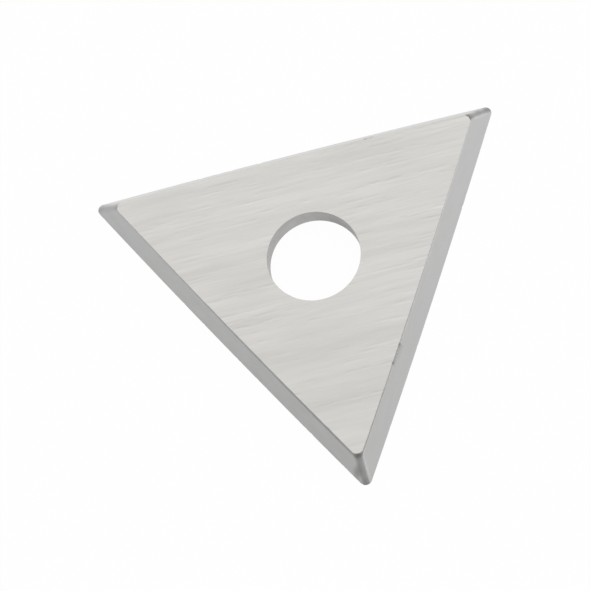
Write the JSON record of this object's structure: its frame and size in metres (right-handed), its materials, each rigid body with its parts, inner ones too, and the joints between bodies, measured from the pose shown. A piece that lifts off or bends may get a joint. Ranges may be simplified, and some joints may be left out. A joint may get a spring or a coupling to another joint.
{
  "type": "triangular scraper blade",
  "caption": "Flat triangular carbide blade for a pull scraper, with bowed cutting edges, slanted ground sides, rounded corners and a plain round screw hole in the middle.",
  "frame": {"origin": "on the axis of the screw hole, at the larger face, which is the one whose outline is the cutting edge", "axes": "+Z along the screw hole from the larger face to the smaller one; +X along one cutting edge, which lies on the +Y side; one corner points along -Y"},
  "size_m": [0.025, 0.0219, 0.0014],
  "materials": {
    "ground_carbide": "satin, with fine parallel grinding lines"
  },
  "bodies": {
    "root": {"blade": "ground_carbide"}
  },
  "joints": []
}
